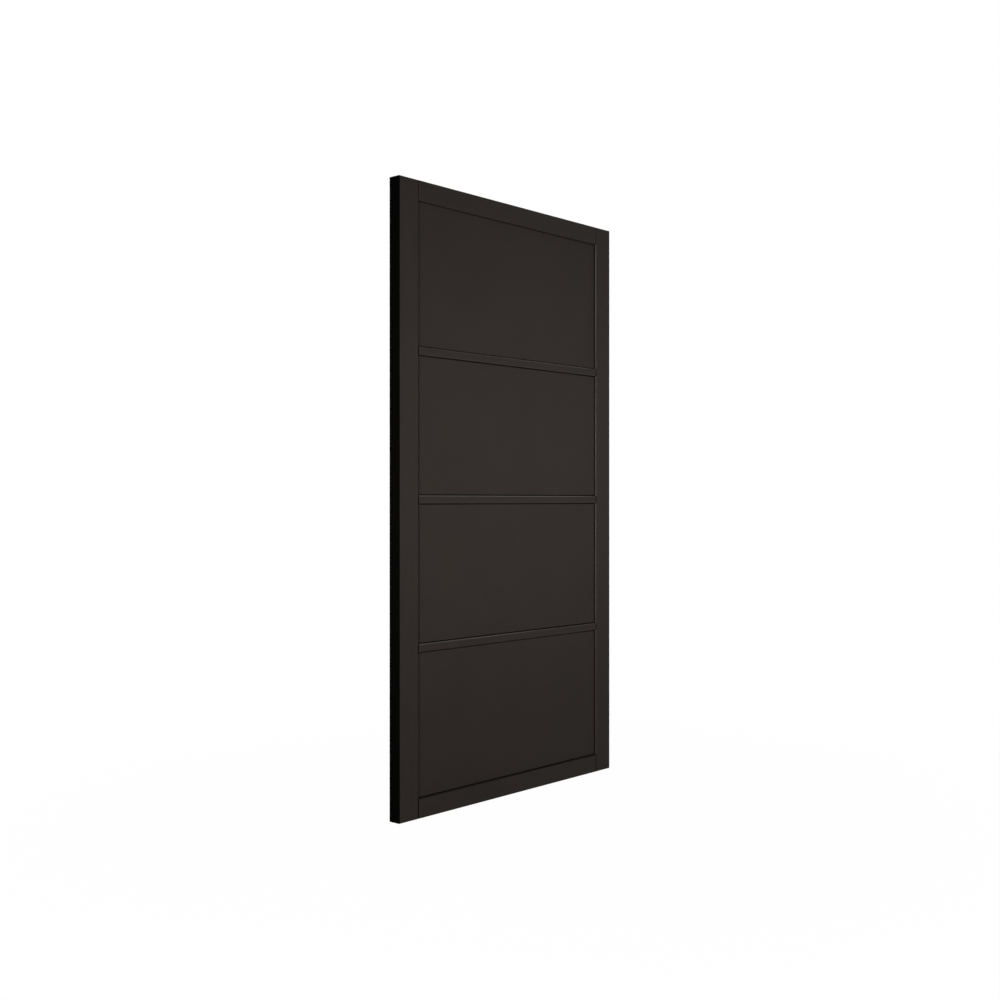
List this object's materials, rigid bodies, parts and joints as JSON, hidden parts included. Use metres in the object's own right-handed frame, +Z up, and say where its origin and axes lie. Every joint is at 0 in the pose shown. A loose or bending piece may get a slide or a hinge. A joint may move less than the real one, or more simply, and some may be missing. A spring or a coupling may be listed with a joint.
{
  "type": "interior door leaf",
  "caption": "Dark painted interior door leaf with slim stiles, rails and horizontal bars around flat recessed panels, with a narrow shadow gap round each panel.",
  "frame": {"origin": "middle of the bottom edge of the leaf", "axes": "+Z up the leaf, +X across it, +Y through its thickness, with the front face towards -Y"},
  "size_m": [1.067, 0.044, 1.981],
  "materials": {
    "face_paint": "warm black paint, matt to satin",
    "edge_paint": "deep black paint, matt",
    "dowel": "bare beech"
  },
  "bodies": {
    "root": {"left_stile": "face_paint", "right_stile": "face_paint", "left_lipping": "edge_paint", "right_lipping": "edge_paint", "top_rail": "face_paint", "bottom_rail": "face_paint", "upper_bar": "face_paint", "middle_bar": "face_paint", "lower_bar": "face_paint", "top_panel": "face_paint", "upper_panel": "face_paint", "lower_panel": "face_paint", "bottom_panel": "face_paint", "rail_dowels": "dowel", "bar_dowels": "dowel"}
  },
  "joints": []
}
